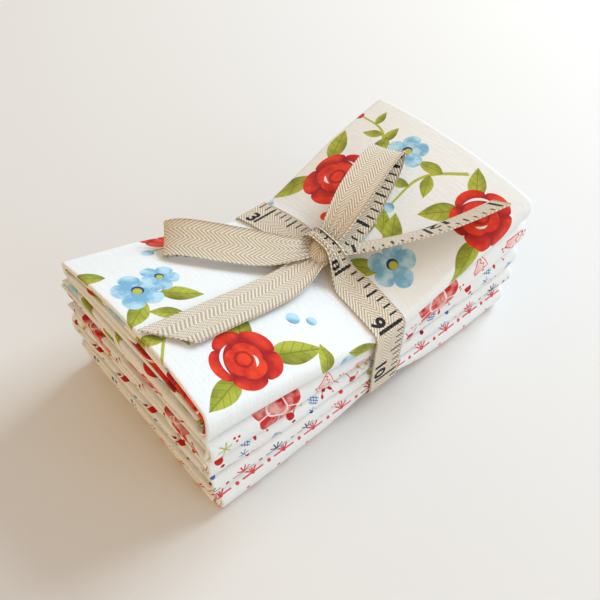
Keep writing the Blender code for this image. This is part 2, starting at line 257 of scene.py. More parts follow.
# The layer of each panel, 0 outermost to 7 innermost, on the outer and on the inner half of the sheet
Panel = namedtuple("Panel", "outer_half inner_half to_the_left steps")
PANELS = (
    Panel(4, 5, True, INNER_PANEL_STEPS),
    Panel(7, 6, False, OUTER_PANEL_STEPS),
    Panel(0, 1, True, OUTER_PANEL_STEPS),
    Panel(3, 2, False, INNER_PANEL_STEPS),
)
BEND_STEPS = (10, 14, 10)
BEND_SQUARE = 0.75
LIP_SWAY = 0.35 * MM


def layer_level(index):
    """Height of a layer in the pad, in layers from the pad's middle."""
    return (LAYERS - 1) / 2 - index


def along_the_piece():
    """The sheet's columns along its 22 inches.

    Each has the shares of the left and right end and an offset along the piece, then for the outer
    and the inner half how far it bends out past the end and its level in the pad, in layers.
    """
    columns = []
    for number, panel in enumerate(PANELS):
        stations = panel_stations(panel.steps)
        if panel.to_the_left:
            stations.reverse()
        levels = (layer_level(panel.outer_half), layer_level(panel.inner_half))
        columns += [(*station, 0.0, levels[0], 0.0, levels[1]) for station in stations]
        if number == len(PANELS) - 1:
            break
        after = PANELS[number + 1]
        side = -1.0 if panel.to_the_left else 1.0
        ends = [(layer_level(a), layer_level(b)) for a, b in
                ((panel.outer_half, after.outer_half), (panel.inner_half, after.inner_half))]
        for k in range(1, BEND_STEPS[number]):
            angle = math.pi * k / BEND_STEPS[number]
            bend = []
            for start, end in ends:
                radius = abs(end - start) / 2
                down = math.copysign(abs(math.cos(angle)) ** BEND_SQUARE, math.cos(angle))
                bend.append(side * radius * math.sin(angle) ** BEND_SQUARE)
                bend.append((start + end + (start - end) * down) / 2)
            columns.append((*stations[-1], *bend))
    return np.array(columns)


def sheet_surface(quarter, columns, rows):
    """The middle surface of the folded sheet and its thickness, as grids of columns by rows."""
    s, hop, bulge = (rows[:, k][None, :] for k in range(3))
    share_left, share_right, offset, *bends = (columns[:, k][:, None] for k in range(7))
    out_a, level_a, out_b, level_b = bends
    out = blend(out_a, out_b, hop)
    level = blend(level_a, level_b, hop)
    corners = [0.0, 1.0, 2.0, 3.0, 4.0, 5.0]
    sway = np.interp(s, corners, [quarter.bottom_out] * 2 + [0.0] * 2 + [quarter.middle_out] * 2)
    left = (quarter.left - sway) * MM
    right = (quarter.right - 0.4 * sway) * MM
    s = s + 0.0 * level
    end = np.where(share_right > share_left, right, left)
    layer_at_end = leaf_thickness(quarter, end, 0.0) / LAYERS
    left_nest = left + 1.5 * leaf_thickness(quarter, left, 0.0) / LAYERS
    left_nest = left_nest + LIP_SWAY * np.sin(s * 4.4 + np.sign(level) * 1.3 + quarter.seam * 2.3)
    right_nest = right - (LAYERS - 1) / 2 * leaf_thickness(quarter, right, 0.0) / LAYERS
    x = share_left * left_nest + share_right * right_nest
    x = x + (1.0 - share_left - share_right) * BAND_X + offset + out * layer_at_end
    y, z, out_y, out_z, thick = pad_section(quarter, x, s)
    layer = thick / LAYERS
    y = y + out_y * level * layer - bulge * layer / 2
    z = z + out_z * level * layer
    x = x - quarter.skew * MM * y / FOLDED_WIDTH * np.minimum(1.0, rise(x))
    surface = np.stack([x, y + STACK_Y, z], axis=2)
    return surface, np.minimum(CLOTH_THICK, CLOTH_FILL * layer)


def surface_normals(surface):
    """Unit normals of a grid of points."""
    return unit(np.cross(np.gradient(surface, axis=0), np.gradient(surface, axis=1)))


def thick_grid(surface, thickness, flat, print_side):
    """A closed thin body round a grid of points: its points, faces, flat places and printed share.

    flat is each point's place on the flat cloth. print_side is 1 or -1: the side that is printed.
    """
    count, width = surface.shape[:2]
    shift = surface_normals(surface) * (thickness / 2)[..., None] * print_side
    points = np.concatenate([(surface + shift).reshape(-1, 3), (surface - shift).reshape(-1, 3)])
    index = np.arange(count * width).reshape(count, width)
    corners = (index[:-1, :-1], index[1:, :-1], index[1:, 1:], index[:-1, 1:])
    printed = np.stack(corners, axis=2).reshape(-1, 4)
    rim = np.concatenate([index[:, 0], index[-1, 1:], index[-2::-1, -1], index[0, -2:0:-1]])
    after = np.roll(rim, -1)
    edge = np.stack([after, after + count * width, rim + count * width, rim], axis=1)
    faces = np.concatenate([printed, printed[:, ::-1] + count * width, edge])
    if print_side < 0:
        faces = faces[:, ::-1]
    both = np.concatenate([flat.reshape(-1, 2), flat.reshape(-1, 2)])
    return points, faces, both, np.repeat([1.0, 0.0], count * width)


def place_object(name, data):
    piece = bpy.data.objects.new(name, data)
    bpy.context.scene.collection.objects.link(piece)
    return piece


def new_mesh(name, points, faces, material):
    mesh = bpy.data.meshes.new(name)
    mesh.from_pydata(points, [], faces)
    mesh.materials.append(material)
    return mesh


def thick_sheet(name, bodies, material):
    """One object from thin bodies, with the flat cloth's metres as its UVs."""
    starts = np.cumsum([0] + [len(points) for points, *_ in bodies])
    points = np.concatenate([body[0] for body in bodies])
    faces = np.concatenate([body[1] + start for body, start in zip(bodies, starts)])
    flat = np.concatenate([body[2] for body in bodies])
    mesh = new_mesh(name, points.tolist(), faces.tolist(), material)
    layer = mesh.uv_layers.new(name="flat")
    layer.data.foreach_set("uv", flat[faces.reshape(-1)].reshape(-1))
    side = mesh.attributes.new("printed", "FLOAT", "POINT")
    side.data.foreach_set("value", np.concatenate([body[3] for body in bodies]))
    mesh.shade_smooth()
    return place_object(name, mesh)


def lengths_along(surface, axis):
    """Running length along one axis of a grid of points."""
    steps = np.linalg.norm(np.diff(surface, axis=axis), axis=2)
    start = np.zeros_like(steps[:1] if axis == 0 else steps[:, :1])
    return np.concatenate([start, np.cumsum(steps, axis=axis)], axis=axis)


def make_quarter(quarter, columns, rows, cloth):
    surface, thickness = sheet_surface(quarter, columns, rows)
    across = lengths_along(surface, 1)
    along = lengths_along(surface, 0)
    middle = int(np.argmin(np.abs(rows[:, 0] - TOP_LEAF_MIDDLE)))
    across = across - across[:, middle:middle + 1] + FLAT_WIDTH / 4
    along = along[-1, middle] - np.broadcast_to(along[:, middle:middle + 1], across.shape)
    flat = np.stack([across, along], axis=2)
    piece = thick_sheet("cloth_" + quarter.name, [thick_grid(surface, thickness, flat, -1)], cloth)
    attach(piece, "root")
    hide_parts(quarter.name)
    below = "floor" if quarter.seam == 0 else "cloth_" + QUARTERS[quarter.seam - 1].name
    return piece, below


# The tape

TAPE_THICK = 0.55 * MM
TAPE_OFF = 0.3 * MM + TAPE_THICK / 2
ACROSS_STEPS = 14
ROUTE_STEPS = 8
RING_ANGLES = 720
RING_STEP = 1.2 * MM

# The knot: its middle, its height above the cloth and how far the tape narrows and rises near it
KNOT_Y = -5.0 * MM
KNOT_TOP = 8.6 * MM
KNOT_REACH = 15.0 * MM
KNOT_NARROW = 0.36
KNOT_CORE = (7.2 * MM, 4.6 * MM, 4.0 * MM)
KNOT_CORE_LIFT = 4.0 * MM
KNOT_CORE_TURN = math.radians(28)
PLEAT_DEPTH = 0.75 * MM
PLEATS = 2.5
LOOP_CUP = 0.4 * MM

# The tape's print: where two of its inch lines cross the top, how many inches go round the stack, and
# the size, weight and place of its numbers
LINE_8_Y = -13.6 * MM
LINE_6_Y = 26.6 * MM
RING_INCHES = 9
KNOT_INCH = 7
NUMBER_HEIGHT = 5.4 * MM
NUMBER_WIDTH = 3.7 * MM
NUMBER_BOLD = 0.035
NUMBER_FOOT = 11.9 * MM
NUMBER_GAP = 1.2 * MM
NUMBER_ROOM = 0.35
NUMBER_CUT = 0.6 * MM
INK_TOP = 0.03 * MM
INK_FOOT = -0.08 * MM

# The routes of the bow, in mm. The columns are x, y, lift, roll and width: lift is the height of the
# tape's middle above the cloth, roll turns its width about the route in degrees, and width is the
# share of the full width that is laid open
LEFT_LOOP = (
    (1, -4, 5.2, 0, 0.5),
    (-7, -0.5, 6.8, -14, 0.72),
    (-16, 4.8, 6.2, -22, 0.95),
    (-26, 13.2, 6.8, -24, 1.0),
    (-34.5, 22, 6.9, -20, 1.0),
    (-38.5, 26.5, 4.9, -14, 1.0),
    (-35.5, 24.5, 2.4, -10, 1.0),
    (-26, 16, 1.8, -6, 1.0),
    (-16, 8.5, 1.8, -4, 0.95),
    (-7, 1.5, 2.8, 0, 0.72),
    (1, -4, 4.0, 0, 0.5),
)
BACK_LOOP = (
    (3, -5, 5.2, 0, 0.5),
    (10, -3, 9.0, 0, 0.72),
    (20, 0.5, 11.4, -2, 0.95),
    (31, 4.5, 11.2, -4, 1.0),
    (42, 8.4, 9.2, -6, 1.0),
    (46, 9.8, 6.8, -6, 1.0),
    (42, 6.8, 4.6, -4, 1.0),
    (31, 2, 3.8, 0, 1.0),
    (20, -2.5, 3.0, 4, 0.95),
    (10, -5, 3.2, 4, 0.72),
    (3, -5, 4.0, 0, 0.5),
)
LEFT_TAIL = (
    (2, -5.5, 5.2, 0, 0.5),
    (-6, -7, 4.8, 0, 0.75),
    (-16, -9, 2.8, 0, 0.95),
    (-28, -10, 1.8, 0, 1.0),
    (-42, -10.6, 1.5, 0, 1.0),
    (-54, -11, 1.4, 0, 1.0),
    (-62.5, -11.2, 1.4, 0, 1.0),
)
RIGHT_TAIL = (
    (4, -7, 4.0, -16, 0.5),
    (11, -11.5, 4.6, -28, 0.8),
    (20, -17.5, 5.2, -36, 1.0),
    (32, -24, 5.4, -38, 1.0),
    (45, -29, 5.4, -38, 1.0),
    (58.5, -33, 5.4, -38, 1.0),
)
LEFT_TAIL_CUT = -12.0 * MM


def smooth_rows(route):
    """Rows of place, roll and width on a smooth curve through a route's points."""
    rows = np.array(route, dtype=float)
    x, y = rows[:, 0] * MM, rows[:, 1] * MM
    rows = np.stack([x, y, top_of_stack(x, y) + rows[:, 2] * MM, rows[:, 3], rows[:, 4]], axis=1)
    padded = np.concatenate([rows[:1], rows, rows[-1:]])
    smooth = []
    for k in range(len(rows) - 1):
        before, start, end, after = padded[k:k + 4]
        for t in np.arange(ROUTE_STEPS) / ROUTE_STEPS:
            smooth.append(0.5 * (2 * start + (end - before) * t
                                 + (2 * before - 5 * start + 4 * end - after) * t ** 2
                                 + (3 * start - before - 3 * end + after) * t ** 3))
    return np.array(smooth + [rows[-1]])


def ribbon_grid(middle, across, share, cut=0.0, cup=0.0):
    """A tape's surface, from its middle line, width direction and share of the full width.

    cut slants its far end, and cup bends both its edges down.
    """
    t = np.linspace(-1.0, 1.0, ACROSS_STEPS + 1)[None, :, None]
    along = unit(np.gradient(middle, axis=0))
    across = unit(across - along * np.sum(across * along, axis=1, keepdims=True))
    normal = np.cross(along, across)
    share = share[:, None, None]
    gather = np.clip((1.0 - share) / (1.0 - KNOT_NARROW), 0.0, 1.0)
    pleat = PLEAT_DEPTH * gather * np.cos(2 * math.pi * PLEATS * t)
    bend = -cup * t ** 2
    slant = cut / 2 * np.linspace(0.0, 1.0, len(middle))[:, None, None] * -t
    width = across[:, None, :] * TAPE_WIDTH / 2 * share * t
    return middle[:, None, :] + width + normal[:, None, :] * (pleat + bend) + along[:, None, :] * slant


# A length of the tape: its surface, the side of it that is printed, the inches printed along it, and
# whether the ticks are on its last edge. label_shift is what its numbers are below its inches
Length = namedtuple("Length", "surface print_side inches flip label_shift")


def tape_body(length):
    """A thin body of tape round one length of it."""
    edge = np.linspace(0.0, TAPE_WIDTH, ACROSS_STEPS + 1)[None, :]
    if length.flip:
        edge = TAPE_WIDTH - edge
    run, edge = np.broadcast_arrays(length.inches[:, None] * INCH, edge)
    thickness = np.full(length.surface.shape[:2], TAPE_THICK)
    return thick_grid(length.surface, thickness, np.stack([edge, run], axis=2), length.print_side)


def running_length(surface):
    return lengths_along(surface, 0)[:, ACROSS_STEPS // 2]


def inches_from(surface, start, direction):
    """The inches printed along a length whose first row is at start."""
    return start + direction * running_length(surface) / INCH


def ring_inches(surface):
    """The inches along the tape round the stack: 8 before the knot and 6 behind it, which reads 3.

    They run true down the front and back, and are drawn together a little where the tape is unseen.
    """
    run = running_length(surface)
    y, z = surface[:, ACROSS_STEPS // 2, 1], surface[:, ACROSS_STEPS // 2, 2]
    top = np.flatnonzero((np.abs(y) < 0.42 * FOLDED_WIDTH) & (z > z.max() / 2))
    line_8, line_6 = np.interp((LINE_8_Y, LINE_6_Y), y[top], run[top])
    front, back = run[np.argmin(y + z)], run[np.argmax(y - z)]
    front_inch = 8 + (line_8 - front) / INCH
    back_inch = 6 - (back - line_6) / INCH
    beneath = front + run[-1] - back
    start = front_inch + (RING_INCHES - front_inch + back_inch) * front / beneath
    return np.interp(run, (0.0, front, line_8, line_6, back, run[-1]),
                     (start, front_inch, 8, 6, back_inch, start - RING_INCHES))


def number_shape(label):
    """A bold number, finely cut, that stands on y = 0 and ends at x = 0: its points, and the faces of
    a thin body whose top has those points and whose foot has them once more."""
    curve = bpy.data.curves.new("number", "FONT")
    curve.body = label
    curve.offset = NUMBER_BOLD
    curve.resolution_u = 5
    letters = place_object("number", curve)
    mesh = bpy.data.meshes.new_from_object(letters.evaluated_get(bpy.context.evaluated_depsgraph_get()))
    shape = bmesh.new()
    shape.from_mesh(mesh)
    points = np.array([vert.co[:] for vert in shape.verts])
    low, high = points.min(axis=0), points.max(axis=0)
    scale = np.array([NUMBER_WIDTH * len(label), NUMBER_HEIGHT]) / (high - low)[:2]
    for vert in shape.verts:
        vert.co.x = (vert.co.x - high[0]) * scale[0]
        vert.co.y = (vert.co.y - low[1]) * scale[1]
    for axis, side, reach in ((X_AXIS, -1.0, NUMBER_WIDTH * len(label)), (Y_AXIS, 1.0, NUMBER_HEIGHT)):
        for place in np.arange(NUMBER_CUT, reach, NUMBER_CUT):
            every = shape.verts[:] + shape.edges[:] + shape.faces[:]
            bmesh.ops.bisect_plane(shape, geom=every, plane_co=axis * (side * place), plane_no=axis)
    shape.verts.index_update()
    points = np.array([vert.co[:2] for vert in shape.verts])
    tops = [[vert.index for vert in face.verts] for face in shape.faces]
    feet = [[vertex + len(points) for vertex in reversed(face)] for face in tops]
    sides = {(face[k - 1], face[k]) for face in tops for k in range(len(face))}
    rims = sorted((a, b) for a, b in sides if (b, a) not in sides)
    faces = tops + feet + [[b, a, a + len(points), b + len(points)] for a, b in rims]
    shape.free()
    bpy.data.objects.remove(letters)
    bpy.data.curves.remove(curve)
    bpy.data.meshes.remove(mesh)
    return points, faces


def on_the_tape(length, inches, edge, height):
    """Places at a height over the printed side, at inches along a length and edge across it."""
    rows = np.arange(len(length.inches), dtype=float)
    order = np.argsort(length.inches)
    row = np.interp(inches, length.inches[order], rows[order])
    column = edge / TAPE_WIDTH * ACROSS_STEPS
    if length.flip:
        column = ACROSS_STEPS - column
    raised = length.surface + surface_normals(length.surface) * length.print_side * (TAPE_THICK / 2 + height)
    low_row = np.clip(row.astype(int), 0, len(rows) - 2)
    low_column = np.clip(column.astype(int), 0, ACROSS_STEPS - 1)
    down, over = (row - low_row)[:, None], (column - low_column)[:, None]
    near = blend(raised[low_row, low_column], raised[low_row + 1, low_column], down)
    far = blend(raised[low_row, low_column + 1], raised[low_row + 1, low_column + 1], down)
    return blend(near, far, over)


def make_numbers(lengths, material):
    """The number before each inch line, a thin layer of ink, on every length of the tape."""
    shapes = {}
    points, faces = [], []
    count = 0
    for length in lengths:
        first, last = length.inches.min() + NUMBER_ROOM, length.inches.max() - NUMBER_ROOM
        for inch in range(math.ceil(first), math.floor(last) + 1):
            shift = length.label_shift if inch < KNOT_INCH else 0
            label = str((inch - shift - 1) % 12 + 1)
            if label not in shapes:
                shapes[label] = number_shape(label)
            shape, sides = shapes[label]
            place = inch + (shape[:, 0] - NUMBER_GAP) / INCH, NUMBER_FOOT - shape[:, 1]
            points += [on_the_tape(length, *place, INK_TOP), on_the_tape(length, *place, INK_FOOT)]
            faces += [[vertex + count for vertex in face] for face in sides]
            count += 2 * len(shape)
    mesh = new_mesh("tape_numbers", np.concatenate(points).tolist(), faces, material)
    piece = place_object("tape_numbers", mesh)
    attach(piece, "root")
    return piece


def route_grid(route, cut=0.0, cup=0.0, loop=False):
    """The surface of a tail or loop. A loop keeps its width across the way it points."""
    rows = smooth_rows(route)
    middle = rows[:, :3].copy()
    middle[:, 1] += STACK_Y
    along = np.gradient(middle, axis=0)
    if loop:
        away = middle - middle[0]
        along = np.broadcast_to(away[np.argmax(np.hypot(away[:, 0], away[:, 1]))], middle.shape)
    level = unit(np.stack([along[:, 1], -along[:, 0], np.zeros(len(rows))], axis=1))
    for k in range(1, len(rows)):
        if level[k] @ level[k - 1] < 0:
            level[k] = -level[k]
    roll = np.radians(rows[:, 3])[:, None]
    upright = np.array([[0.0, 0.0, 1.0]])
    across = level * np.cos(roll) - upright * np.sin(roll)
    return ribbon_grid(middle, across, np.clip(rows[:, 4], 0.0, 1.0), cut, cup)


def ring_rows():
    """The middle line of the tape round the stack, from under the stack up the front and back down."""
    x, s = np.meshgrid(BAND_X + WAIST_FLAT * np.linspace(-1.0, 1.0, 5), np.linspace(0.0, 5.0, 61))
    around = []
    for quarter in QUARTERS:
        y, z, out_y, out_z, thick = pad_section(quarter, x.reshape(-1), s.reshape(-1))
        around.append(np.stack([y + out_y * thick / 2, z + out_z * thick / 2], axis=1))
    around = np.concatenate(around)
    angles = -math.pi / 2 - np.linspace(0.0, 2 * math.pi, RING_ANGLES + 1)
    normals = np.stack([np.cos(angles), np.sin(angles)], axis=1)
    touched = around[np.argmax(around @ normals.T, axis=0)]
    line = touched + normals * TAPE_OFF
    middle = float(np.mean([around[:, 0].min(), around[:, 0].max()]))
    line = np.concatenate([[[middle, line[0, 1]]], line[1:-1], [[middle, line[-1, 1]]]])
    run = np.concatenate([[0.0], np.cumsum(np.linalg.norm(np.diff(line, axis=0), axis=1))])
    places = np.linspace(0.0, run[-1], int(run[-1] / RING_STEP))
    return np.stack([np.interp(places, run, line[:, 0]), np.interp(places, run, line[:, 1])], axis=1)


def ring_grid():
    """The tape round the stack, which rises and narrows to cross over the knot."""
    line = ring_rows()
    top = top_of_stack(BAND_X, 0.0)
    near = np.clip(1.0 - np.abs(line[:, 0] - KNOT_Y) / KNOT_REACH, 0.0, 1.0) * (line[:, 1] > top - 6 * MM)
    lift = KNOT_TOP * np.sin(np.minimum(1.0, near * 1.25) * math.pi / 2) ** 2.6
    share = 1.0 - (1.0 - KNOT_NARROW) * np.sin(np.minimum(1.0, near * 1.2) * math.pi / 2) ** 1.5
    middle = np.stack([np.full(len(line), BAND_X), line[:, 0] + STACK_Y, line[:, 1] + lift], axis=1)
    across = np.broadcast_to(np.array([1.0, 0.0, 0.0]), middle.shape)
    return ribbon_grid(middle, across, share)


def knot_core_grid():
    """The gathered tape inside the knot: a roll that tapers to both ends."""
    t = np.linspace(-0.985, 0.985, 25)[:, None]
    angle = np.linspace(-math.pi, math.pi, ACROSS_STEPS * 2 + 1)[None, :] - math.pi / 2
    swell = np.sqrt(1.0 - t ** 2) * (1.0 + 0.05 * np.cos(6 * angle))
    length, breadth, height = KNOT_CORE
    u = length * t + 0.0 * angle
    v = breadth * swell * np.cos(angle)
    x = BAND_X + u * math.cos(KNOT_CORE_TURN) - v * math.sin(KNOT_CORE_TURN)
    y = KNOT_Y + u * math.sin(KNOT_CORE_TURN) + v * math.cos(KNOT_CORE_TURN)
    z = top_of_stack(BAND_X, KNOT_Y) + KNOT_CORE_LIFT + height * swell * np.sin(angle)
    return np.stack([x, y + STACK_Y, z], axis=2)


def tape_lengths():
    """The tape's lengths. The inches that each of the bow's has at the knot put its print in its place."""
    ring = ring_grid()
    left_loop = route_grid(LEFT_LOOP, cup=LOOP_CUP, loop=True)
    back_loop = route_grid(BACK_LOOP, cup=LOOP_CUP, loop=True)
    left_tail = route_grid(LEFT_TAIL, cut=LEFT_TAIL_CUT)
    right_tail = route_grid(RIGHT_TAIL)
    return (
        Length(ring, -1, ring_inches(ring), True, 3),
        Length(left_loop, 1, inches_from(left_loop, 7.0, -1.0), False, 0),
        Length(back_loop, 1, inches_from(back_loop, 4.9, 1.0), True, 0),
        Length(left_tail, 1, inches_from(left_tail, 9.6, 1.0), True, 0),
        Length(right_tail, -1, inches_from(right_tail, 13.32, -1.0), True, 0),
    )


def make_tape(lengths, material):
    core = knot_core_grid()
    flat = np.zeros((*core.shape[:2], 2))
    flat[..., 0] = np.linspace(0.0, 2 * TAPE_WIDTH, core.shape[1])[None, :]
    flat[..., 1] = lengths_along(core, 0)
    bodies = [tape_body(length) for length in lengths]
    bodies.append(thick_grid(core, np.full(core.shape[:2], TAPE_THICK), flat, 1))
    piece = thick_sheet("twill_tape", bodies, material)
    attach(piece, "root")
    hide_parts("tape")
    return piece


# Materials: nodes, fields of numbers over the cloth, and colours painted layer by layer


def fill(node, inputs):
    """Set a node's inputs, by name or place, to values, or lead sockets and fields into them."""
    for name, item in inputs.items():
        socket = node.inputs[name]
        item = getattr(item, "socket", item)
        if isinstance(item, bpy.types.NodeSocket):
            node.id_data.links.new(item, socket)
        else:
            socket.default_value = (*item, 1.0) if socket.type == "RGBA" else item


def add_node(tree, kind, inputs, **settings):
    node = tree.nodes.new("ShaderNode" + kind)
    for name, value in settings.items():
        setattr(node, name, value)
    fill(node, inputs)
    return node


def new_material(name, inputs):
    """A material whose shader has the given inputs."""
    material = bpy.data.materials.new(name)
    material.use_nodes = True
    fill(material.node_tree.nodes["Principled BSDF"], inputs)
    return material


class Field:
    """One number at every place on a surface, worked out from others with ordinary arithmetic."""

    def __init__(self, tree, socket):
        self.tree = tree
        self.socket = socket

    def do(self, operation, *others):
        return math_field(self.tree, operation, (self, *others))

    def __rsub__(self, other):
        return math_field(self.tree, "SUBTRACT", (other, self))

    __add__ = partialmethod(do, "ADD")
    __sub__ = partialmethod(do, "SUBTRACT")
    __mul__ = partialmethod(do, "MULTIPLY")
    __abs__ = partialmethod(do, "ABSOLUTE")
    sin = partialmethod(do, "SINE")
    cos = partialmethod(do, "COSINE")
    least = partialmethod(do, "MINIMUM")
    most = partialmethod(do, "MAXIMUM")
    times_add = partialmethod(do, "MULTIPLY_ADD")
    # Distance to the nearest multiple of twice a step, which rises and falls between 0 and the step
    fold = partialmethod(do, "PINGPONG")

    def cut(self, sharp):
        """1 where the field is positive, 0 where it is negative, with an edge of this steepness."""
        return self.times_add(sharp, 0.5).least(1.0).most(0.0)

    def inked(self, edge):
        """1 where the field is positive, 0 where it is negative, fading over edge."""
        return self.cut(1.0 / edge)


def math_field(tree, operation, inputs):
    return Field(tree, add_node(tree, "Math", dict(enumerate(inputs)), operation=operation).outputs[0])


# The places of the colour sockets on a Mix node
MIX_LOW, MIX_HIGH, MIX_RESULT = 6, 7, 2


class Painter:
    """A colour that is painted layer by layer in a tree of nodes."""

    def __init__(self, tree, ground):
        self.tree = tree
        self.colour = ground

    def split(self, vector):
        node = add_node(self.tree, "SeparateXYZ", {0: vector})
        return Field(self.tree, node.outputs[0]), Field(self.tree, node.outputs[1])

    def mixed(self, share, low, high):
        """A colour between two others."""
        node = add_node(self.tree, "Mix", {}, data_type="RGBA")
        fill(node, {0: share, MIX_LOW: low, MIX_HIGH: high})
        return node.outputs[MIX_RESULT]

    def paint(self, share, colour):
        self.colour = self.mixed(share, self.colour, colour)


def polar(x, y):
    reach = (x * x + y * y).do("SQRT")
    return reach, y.do("ARCTAN2", x)


# The motifs that are drawn, each as one node group for each choice of its colours
MOTIFS = {}
MOTIF_INPUTS = {"Ground": "Color", "Place": "Vector", "Wash": "Float", "Sharp": "Float"}


def motif_group(draw, options):
    """The node group of a motif. draw paints it round 0, 0 and about 1 in reach."""
    if (draw, options) not in MOTIFS:
        tree = bpy.data.node_groups.new(draw.__name__, "ShaderNodeTree")
        for name, kind in MOTIF_INPUTS.items():
            tree.interface.new_socket(name, in_out="INPUT", socket_type="NodeSocket" + kind)
        tree.interface.new_socket("Colour", in_out="OUTPUT", socket_type="NodeSocketColor")
        given = tree.nodes.new("NodeGroupInput").outputs
        art = Painter(tree, given["Ground"])
        x, y = art.split(given["Place"])
        draw(art, x, y, Field(tree, given["Wash"]), Field(tree, given["Sharp"]), *options)
        fill(tree.nodes.new("NodeGroupOutput"), {"Colour": art.colour})
        MOTIFS[draw, options] = tree
    return MOTIFS[draw, options]


class Dye(Painter):
    """A material that is painted in the flat cloth's own metres."""

    def __init__(self, name, ground, wash_size):
        self.material = new_material(name, {})
        super().__init__(self.material.node_tree, ground)
        self.place = add_node(self.tree, "UVMap", {}, uv_map="flat").outputs["UV"]
        self.wash = self.noise(wash_size)

    def noise(self, size, stretch=(1.0, 1.0)):
        """Soft noise from 0 to 1 with spots of about the given size."""
        move = add_node(self.tree, "Mapping", {"Vector": self.place, "Scale": (*stretch, 1.0)})
        inputs = {"Vector": move.outputs[0], "Scale": 1.0 / size, "Detail": 3.0}
        return Field(self.tree, add_node(self.tree, "TexNoise", inputs, noise_dimensions="2D").outputs["Fac"])

    def stamp(self, draw, tile, x, y, turn, size, *colours):
        """Print a motif at x, y on a repeat of tile, turned and in its size."""
        far = (x + tile[0] / 2, y + tile[1] / 2, 1.0)
        near = (x - tile[0] / 2, y - tile[1] / 2, -1.0)
        wrap = add_node(self.tree, "VectorMath", {0: self.place, 1: far, 2: near}, operation="WRAP")
        move = add_node(self.tree, "Mapping", {
            "Vector": wrap.outputs[0], "Location": (x, y, 0.0),
            "Rotation": (0.0, 0.0, turn), "Scale": (size, size, 1.0),
        }, vector_type="TEXTURE")
        group = add_node(self.tree, "Group", {}, node_tree=motif_group(draw, colours))
        fill(group, {"Ground": self.colour, "Place": move.outputs[0],
                     "Wash": self.wash, "Sharp": size / PRINT_EDGE})
        self.colour = group.outputs["Colour"]

    def printed(self):
        return Field(self.tree, add_node(self.tree, "Attribute", {}, attribute_name="printed").outputs["Fac"])

    def finish(self, height, finish):
        """Colour, relief and finish go to the shader."""
        bump = add_node(self.tree, "Bump", {"Distance": finish.depth, "Height": height})
        fill(self.tree.nodes["Principled BSDF"], {
            "Base Color": self.colour, "Normal": bump.outputs[0], "Roughness": finish.roughness,
            "Specular IOR Level": 0.25, "Sheen Weight": finish.sheen, "Sheen Roughness": 0.5,
        })
        return self.material


# Colours of the prints

WHITE = (0.88, 0.91, 0.91)
RED = (0.60, 0.012, 0.010)
DEEP_RED = (0.30, 0.006, 0.010)
SCARLET = (0.84, 0.055, 0.014)
SOFT_RED = (0.84, 0.40, 0.36)
PINK_RED = (0.72, 0.07, 0.08)
SKY = (0.20, 0.47, 0.68)
PALE_SKY = (0.50, 0.76, 0.90)
NAVY = (0.02, 0.045, 0.16)
BLUE = (0.06, 0.20, 0.52)
LIME = (0.46, 0.50, 0.055)
OLIVE = (0.17, 0.19, 0.012)
YOLK = (0.55, 0.52, 0.05)

# How a material is finished: the depth of its relief, its roughness and its sheen
Finish = namedtuple("Finish", "depth roughness sheen")
COTTON = Finish(0.11 * MM, 0.82, 0.12)
TWILL = Finish(0.16 * MM, 0.9, 0.1)

THREAD = 0.42 * MM
PRINT_EDGE = 0.16 * MM
BACK_FADE = 0.62


def cotton_finish(dye):
    """The paler wrong side of the print, the plain weave and soft unevenness."""
    dye.paint(dye.printed().times_add(-BACK_FADE, BACK_FADE), WHITE)
    x, y = dye.split(dye.place)
    weave = (x * (2 * math.pi / THREAD)).sin() * (y * (2 * math.pi / THREAD)).sin()
    slub = dye.noise(0.9 * MM, stretch=(1.0, 0.12)) + dye.noise(0.9 * MM, stretch=(0.12, 1.0))
    return dye.finish(weave * 0.25 + slub + dye.wash * 1.5, COTTON)


# The motifs of the floral print. Each draws round 0, 0; sharp is how steep the print's edge is there


def leaf(art, x, y, wash, sharp, light, dark):
    """A pointed leaf with a midrib and side veins, deeper on one side."""
    off = abs(y)
    inside = (x * x).times_add(-0.46, 0.46).do("MULTIPLY_ADD", x * -0.28 + 1.0, off * -1.0)
    shape = inside.least(1.0 - abs(x)).cut(sharp)
    shade = (wash * 1.5 + y * 1.0 - x * 0.2 - 0.95).inked(1.0)
    art.paint(shape, art.mixed(shade, light, dark))
    vein = 0.018 - (x - off * 0.9 + 4.0).fold(0.19)
    art.paint(vein.most(0.026 - off).cut(sharp) * shape * 0.7, dark)


def rose(art, x, y, wash, sharp, light, middle, dark):
    """A full bloom: round outer petals, a cup of inner ones, and short white slits between them."""
    reach, angle = polar(x, y)
    petal = abs((angle * 2.5 + 0.4).sin())
    rim = petal.do("POWER", 0.45).times_add(0.20, 0.78) + (angle * 2.0 + 1.0).sin() * 0.04
    shape = (rim - reach).cut(sharp)
    glow = (wash * 2.2 + petal * 0.45 + reach * 0.3 - 1.65).inked(0.8)
    art.paint(shape, art.mixed(glow, middle, light))
    art.paint((0.24 - petal).inked(0.34) * (reach - 0.5).inked(0.3) * shape * 0.75, dark)
    near, turn = polar(x - 0.06, y + 0.05)
    cup = abs((turn * 1.5 + 0.7).sin()).do("POWER", 0.5).times_add(0.13, 0.44)
    art.paint((0.12 - abs(near - cup - 0.05)).inked(0.2) * shape * 0.75, dark)
    art.paint((cup - near).cut(sharp), art.mixed((wash * 2.4 - near * 0.5 - 0.9).inked(0.8), middle, light))
    art.paint((0.035 - abs(near - 0.22 - turn.sin() * 0.07)).inked(0.05) * 0.8, dark)
    long_slit = (turn - 0.9).cos() * 0.16 - 0.115 - abs(near - 0.64)
    short_slit = (turn - 3.9).cos() * 0.2 - 0.16 - abs(near - 0.30)
    art.paint(long_slit.most(short_slit).cut(sharp), WHITE)


